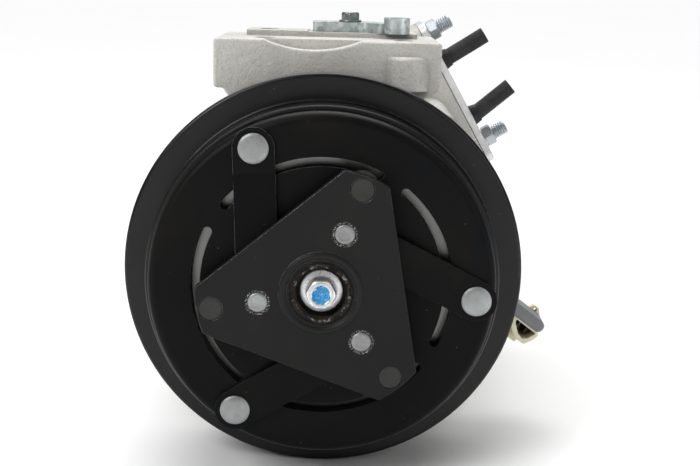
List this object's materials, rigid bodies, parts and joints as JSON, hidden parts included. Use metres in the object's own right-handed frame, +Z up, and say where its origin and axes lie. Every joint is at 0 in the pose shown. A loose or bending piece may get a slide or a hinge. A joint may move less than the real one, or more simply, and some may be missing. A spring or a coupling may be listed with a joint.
{
  "type": "automotive ac compressor",
  "caption": "Belt-driven automotive air-conditioning compressor with an electromagnetic clutch, cast aluminium casing, top mounting block and capped line ports.",
  "frame": {"origin": "on the shaft's axis, at the middle of the belt", "axes": "+Y along the shaft to the rear, +Z up through the mounting block, +X to the right of someone facing the pulley, towards the ports"},
  "size_m": [0.1383, 0.1883, 0.1413],
  "materials": {
    "cast_aluminium": "as cast, blasted",
    "machined_aluminium": "machined",
    "pulley_black": "gloss black coat",
    "hub_black": "satin black coat",
    "zinc_steel": "zinc plated",
    "bright_steel": "ground",
    "bearing_steel": "polished",
    "spring_steel": "blued",
    "copper": "enamelled wire",
    "tinned_brass": "tinned",
    "black_rubber": "moulded",
    "gasket": "coated sheet",
    "cream_plastic": "moulded",
    "grey_plastic": "moulded",
    "seal_plastic": "filled polymer",
    "lead_sleeve": "sleeve",
    "cage_plastic": "moulded"
  },
  "bodies": {
    "casing": {"front_housing": "cast_aluminium", "fixed_scroll": "cast_aluminium", "rear_housing": "cast_aluminium", "housing_gaskets": "gasket", "fixed_tip_seal": "seal_plastic", "discharge_reed": "spring_steel", "reed_stop": "bright_steel", "reed_screw": "bright_steel", "relief_valve_body": "zinc_steel", "relief_valve_spring": "spring_steel", "port_cover": "zinc_steel", "port_studs": "zinc_steel", "port_washers": "zinc_steel", "transport_plugs": "black_rubber", "top_bracket": "zinc_steel", "bracket_bolts": "zinc_steel", "connector_body": "cream_plastic", "connector_cover": "grey_plastic", "connector_terminals": "tinned_brass", "connector_clip": "zinc_steel", "coil_shell": "bright_steel", "coil_winding": "copper", "coil_plate": "zinc_steel", "coil_lead": "lead_sleeve", "pulley_bearing_inner": "bearing_steel", "pulley_snap_ring": "spring_steel", "housing_snap_rings": "spring_steel", "shaft_seal": "black_rubber", "nose_bearing_cup": "bright_steel", "main_bearing_outer": "bearing_steel", "thrust_plate": "bright_steel", "anti_rotation_pins": "bright_steel", "through_bolts": "zinc_steel"},
    "pulley_body": {"pulley": "pulley_black", "pulley_bearing_outer": "bearing_steel", "pulley_bearing_seals": "black_rubber"},
    "pulley_ball_train": {"pulley_bearing_balls": "bearing_steel", "pulley_bearing_cages": "cage_plastic"},
    "shaft_body": {"crankshaft": "bright_steel", "eccentric_bushing": "bright_steel", "counterweight": "bright_steel", "hub_boss": "hub_black", "drive_plate": "hub_black", "inner_rivets": "zinc_steel", "rubber_stoppers": "black_rubber", "leaf_springs": "hub_black", "hub_bolt": "zinc_steel", "hub_shims": "bright_steel", "main_bearing_inner": "bearing_steel"},
    "armature_body": {"armature_plate": "hub_black", "outer_rivets": "zinc_steel"},
    "main_ball_train": {"main_bearing_balls": "bearing_steel", "main_bearing_cage": "bearing_steel"},
    "nose_roller_train": {"nose_bearing_rollers": "bearing_steel"},
    "orbiter_body": {"orbiting_scroll": "machined_aluminium", "orbiting_tip_seal": "seal_plastic", "anti_rotation_rings": "bright_steel", "crank_bearing_cup": "bright_steel"},
    "crank_roller_train": {"crank_bearing_rollers": "bearing_steel"},
    "relief_poppet_body": {"relief_valve_poppet": "bright_steel"}
  },
  "joints": [
    {"name": "pulley_spin", "type": "hinge", "parent": "casing", "child": "pulley_body", "pos_m": [0, 0, 0], "axis": [0, 1, 0], "continuous": true},
    {"name": "pulley_ball_train_spin", "type": "hinge", "parent": "casing", "child": "pulley_ball_train", "pos_m": [0, 0, 0], "axis": [0, 1, 0], "continuous": true},
    {"name": "shaft_spin", "type": "hinge", "parent": "casing", "child": "shaft_body", "pos_m": [0, 0, 0], "axis": [0, 1, 0], "continuous": true},
    {"name": "armature_pull", "type": "slide", "parent": "shaft_body", "child": "armature_body", "axis": [0, 1, 0], "range_m": [0, 0.0005], "stiffness_N_per_m": 40000, "springref_m": -0.001, "deforming": ["leaf_springs"]},
    {"name": "main_ball_train_spin", "type": "hinge", "parent": "casing", "child": "main_ball_train", "pos_m": [0, 0.032, 0], "axis": [0, 1, 0], "continuous": true},
    {"name": "nose_roller_train_spin", "type": "hinge", "parent": "casing", "child": "nose_roller_train", "pos_m": [0, 0.0168, 0], "axis": [0, 1, 0], "continuous": true},
    {"name": "scroll_orbit", "type": "hinge", "parent": "shaft_body", "child": "orbiter_body", "pos_m": [0.0043, 0.055, 0], "axis": [0, 1, 0], "continuous": true},
    {"name": "crank_roller_train_spin", "type": "hinge", "parent": "shaft_body", "child": "crank_roller_train", "pos_m": [0.0043, 0.0554, 0], "axis": [0, 1, 0], "continuous": true},
    {"name": "relief_lift", "type": "slide", "parent": "casing", "child": "relief_poppet_body", "axis": [-0.8192, 0, -0.5736], "range_m": [0, 0.001], "stiffness_N_per_m": 10000, "springref_m": -0.003, "deforming": ["relief_valve_spring"]}
  ],
  "couplings": [
    {"joint": "pulley_ball_train_spin", "follows": "pulley_spin", "ratio": 0.55517},
    {"joint": "main_ball_train_spin", "follows": "shaft_spin", "ratio": 0.40323},
    {"joint": "nose_roller_train_spin", "follows": "shaft_spin", "ratio": 0.435},
    {"joint": "scroll_orbit", "follows": "shaft_spin", "ratio": -1},
    {"joint": "crank_roller_train_spin", "follows": "shaft_spin", "ratio": -0.55865}
  ]
}
